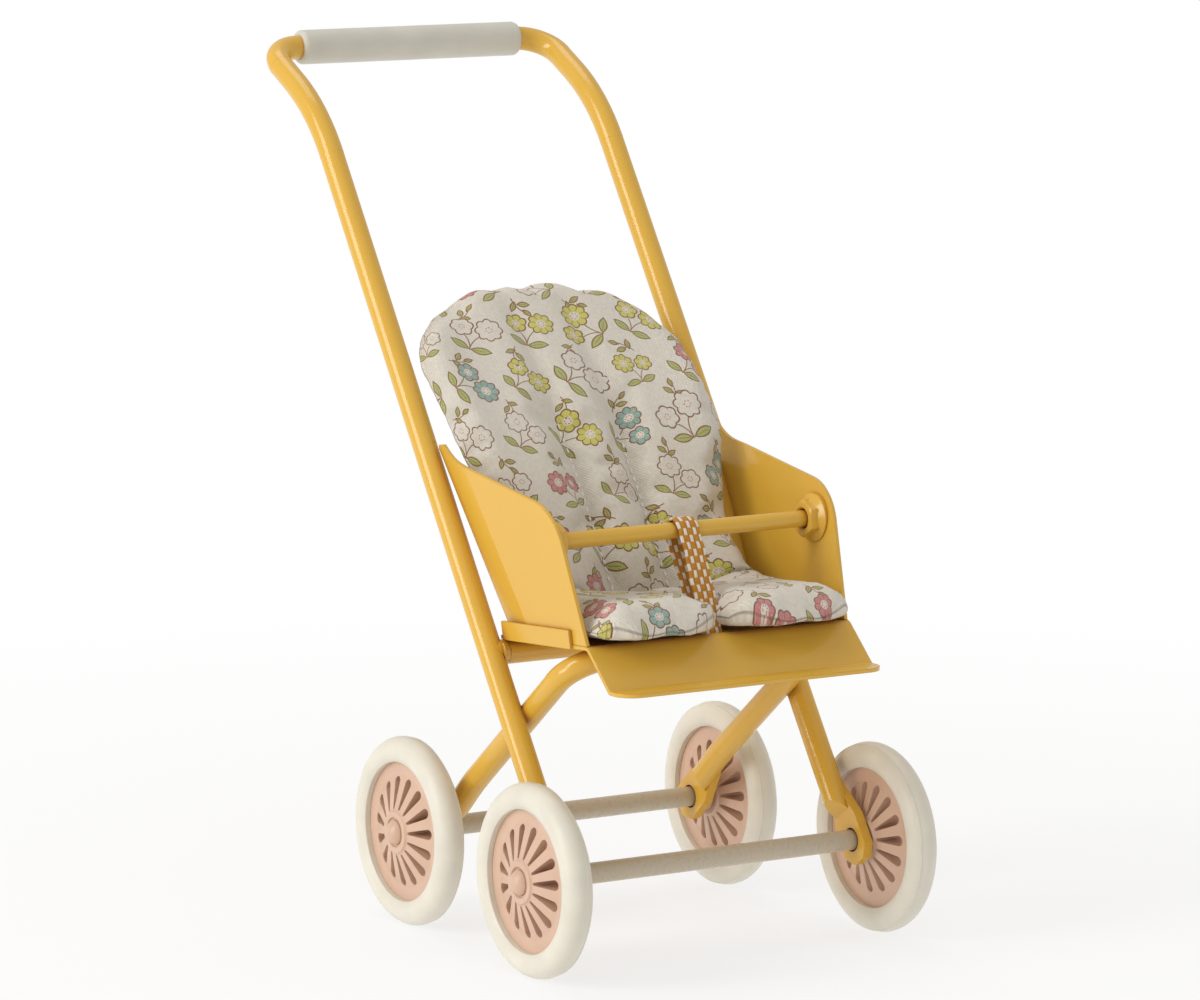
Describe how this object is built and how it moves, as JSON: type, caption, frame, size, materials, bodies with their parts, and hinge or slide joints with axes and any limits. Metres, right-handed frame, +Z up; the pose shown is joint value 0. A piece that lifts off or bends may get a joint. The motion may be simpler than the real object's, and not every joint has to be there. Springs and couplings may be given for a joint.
{
  "type": "doll stroller",
  "caption": "Small doll stroller: welded bent-tube frame, sheet-metal seat with bumper bar, quilted cushion and slotted wheels on two turning axles.",
  "frame": {"origin": "on the ground, under the middle of the stroller's length and width", "axes": "+Z up, -Y towards the front of the stroller, +X to its left-hand side as the doll sits"},
  "size_m": [0.108, 0.1698, 0.2115],
  "materials": {
    "yellow_paint": "gloss powder coat",
    "axle_paint": "satin",
    "grip_plastic": "fine matte",
    "hub_plastic": "satin",
    "tyre_soft": "soft satin",
    "printed_cotton": "woven floral print",
    "woven_elastic": "woven mustard and off-white"
  },
  "bodies": {
    "frame": {"handle_tube": "yellow_paint", "rear_leg_tube": "yellow_paint", "seat_crossbar": "yellow_paint", "frame_welds": "yellow_paint", "handle_grip": "grip_plastic", "seat_plate": "yellow_paint", "seat_back": "yellow_paint", "side_panel_left": "yellow_paint", "side_panel_right": "yellow_paint", "bumper_nut_left": "yellow_paint", "bumper_nut_right": "yellow_paint", "cushion_seat": "printed_cotton", "cushion_back": "printed_cotton", "harness_strap": "woven_elastic", "strap_stop": "woven_elastic"},
    "bumper_bar": {"bumper_bar": "yellow_paint"},
    "front_wheels": {"front_axle": "axle_paint", "front_hub_left": "hub_plastic", "front_hub_right": "hub_plastic", "front_tyre_left": "tyre_soft", "front_tyre_right": "tyre_soft", "front_cap_left": "hub_plastic", "front_cap_right": "hub_plastic"},
    "rear_wheels": {"rear_axle": "axle_paint", "rear_hub_left": "hub_plastic", "rear_hub_right": "hub_plastic", "rear_tyre_left": "tyre_soft", "rear_tyre_right": "tyre_soft", "rear_cap_left": "hub_plastic", "rear_cap_right": "hub_plastic", "rear_spacer_left": "hub_plastic", "rear_spacer_right": "hub_plastic"}
  },
  "joints": [
    {"name": "front_axle_spin", "type": "hinge", "parent": "frame", "child": "front_wheels", "pos_m": [0, -0.06188, 0.023], "axis": [1, 0, 0], "continuous": true},
    {"name": "rear_axle_spin", "type": "hinge", "parent": "frame", "child": "rear_wheels", "pos_m": [0, 0.00272, 0.023], "axis": [1, 0, 0], "continuous": true},
    {"name": "bumper_bar_spin", "type": "hinge", "parent": "frame", "child": "bumper_bar", "pos_m": [0, -0.05005, 0.10002], "axis": [1, 0, 0], "continuous": true}
  ]
}
